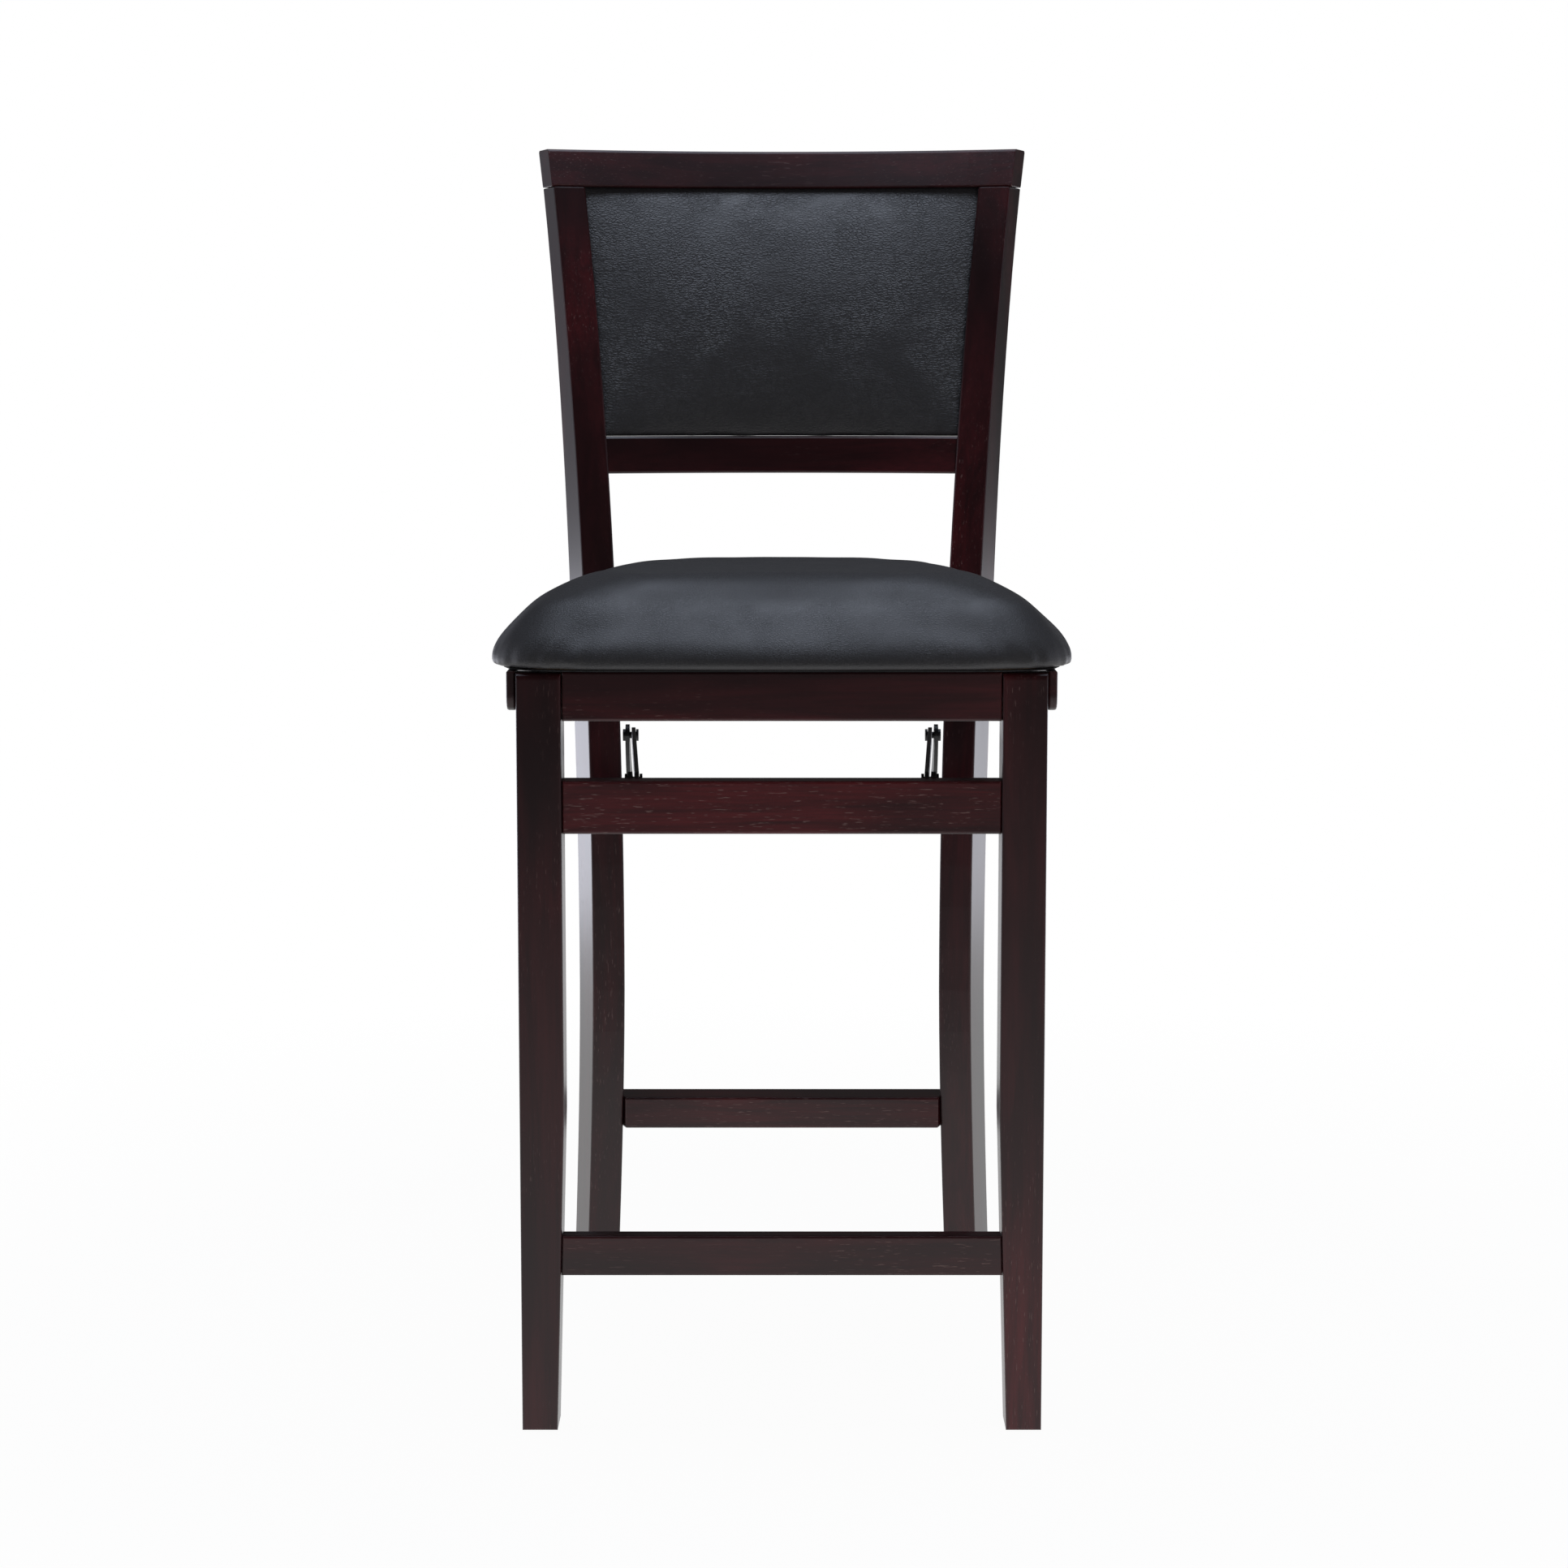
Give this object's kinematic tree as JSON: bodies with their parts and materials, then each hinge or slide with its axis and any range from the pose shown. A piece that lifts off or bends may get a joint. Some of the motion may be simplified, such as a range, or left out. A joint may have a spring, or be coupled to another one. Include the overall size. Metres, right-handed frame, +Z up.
{
  "type": "folding bar stool",
  "caption": "Folding counter stool with curved rear legs, a bowed padded back, a padded seat and a front frame that folds up with the seat.",
  "frame": {"origin": "on the floor, below the middle of the open stool's bounding box", "axes": "+Z up, -Y towards the sitter's feet (the front), +X to the right as seen from the front"},
  "size_m": [0.4318, 0.6264, 0.9919],
  "materials": {
    "espresso_wood": "satin lacquer, very dark red-brown",
    "black_leatherette": "soft matt leatherette",
    "black_steel": "black enamel",
    "plywood": "bare",
    "black_dust_cloth": "matt",
    "grey_nylon": "matt"
  },
  "bodies": {
    "rear_frame": {"rear_leg_right": "espresso_wood", "rear_leg_left": "espresso_wood", "crest_rail": "espresso_wood", "lower_back_rail": "espresso_wood", "back_pad": "black_leatherette", "back_panel": "black_leatherette", "middle_rear_rail": "espresso_wood", "rear_stretcher": "espresso_wood", "hinge_block_right": "espresso_wood", "hinge_block_left": "espresso_wood", "pivot_arm_right": "black_steel", "pivot_arm_left": "black_steel", "rear_pivot_bolt_right": "black_steel", "rear_pivot_bolt_left": "black_steel", "link_bracket_right": "black_steel", "link_bracket_left": "black_steel", "rear_link_rivet_right": "black_steel", "rear_link_rivet_left": "black_steel", "rear_glide_right": "grey_nylon", "rear_glide_left": "grey_nylon"},
    "seat": {"seat_cushion": "black_leatherette", "seat_board": "plywood", "dust_cover": "black_dust_cloth", "front_apron": "espresso_wood", "side_rail_right": "espresso_wood", "side_rail_left": "espresso_wood", "corner_block_right": "plywood", "corner_block_left": "plywood", "front_pivot_bolt_right": "black_steel", "front_pivot_bolt_left": "black_steel"},
    "front_frame": {"front_leg_right": "espresso_wood", "front_leg_left": "espresso_wood", "middle_front_rail": "espresso_wood", "foot_rail": "espresso_wood", "rail_lug_right": "black_steel", "rail_lug_left": "black_steel", "front_link_rivet_right": "black_steel", "front_link_rivet_left": "black_steel", "front_glide_right": "grey_nylon", "front_glide_left": "grey_nylon"},
    "right_link": {"fold_link_right": "black_steel"},
    "left_link": {"fold_link_left": "black_steel"}
  },
  "joints": [
    {"name": "seat_fold", "type": "hinge", "parent": "rear_frame", "child": "seat", "pos_m": [0, 0.03701, 0.558], "axis": [-1, 0, 0], "range_deg": [0, 90]},
    {"name": "front_frame_swing", "type": "hinge", "parent": "seat", "child": "front_frame", "pos_m": [0, -0.28099, 0.558], "axis": [-1, 0, 0], "range_deg": [-90, 0]},
    {"name": "right_link_swing", "type": "hinge", "parent": "rear_frame", "child": "right_link", "pos_m": [0.1246, 0.04951, 0.494], "axis": [-1, 0, 0], "range_deg": [0, 90]},
    {"name": "left_link_swing", "type": "hinge", "parent": "rear_frame", "child": "left_link", "pos_m": [-0.1246, 0.04951, 0.494], "axis": [-1, 0, 0], "range_deg": [0, 90]}
  ],
  "couplings": [
    {"joint": "front_frame_swing", "follows": "seat_fold", "ratio": -1},
    {"joint": "right_link_swing", "follows": "seat_fold", "ratio": 1},
    {"joint": "left_link_swing", "follows": "seat_fold", "ratio": 1}
  ]
}
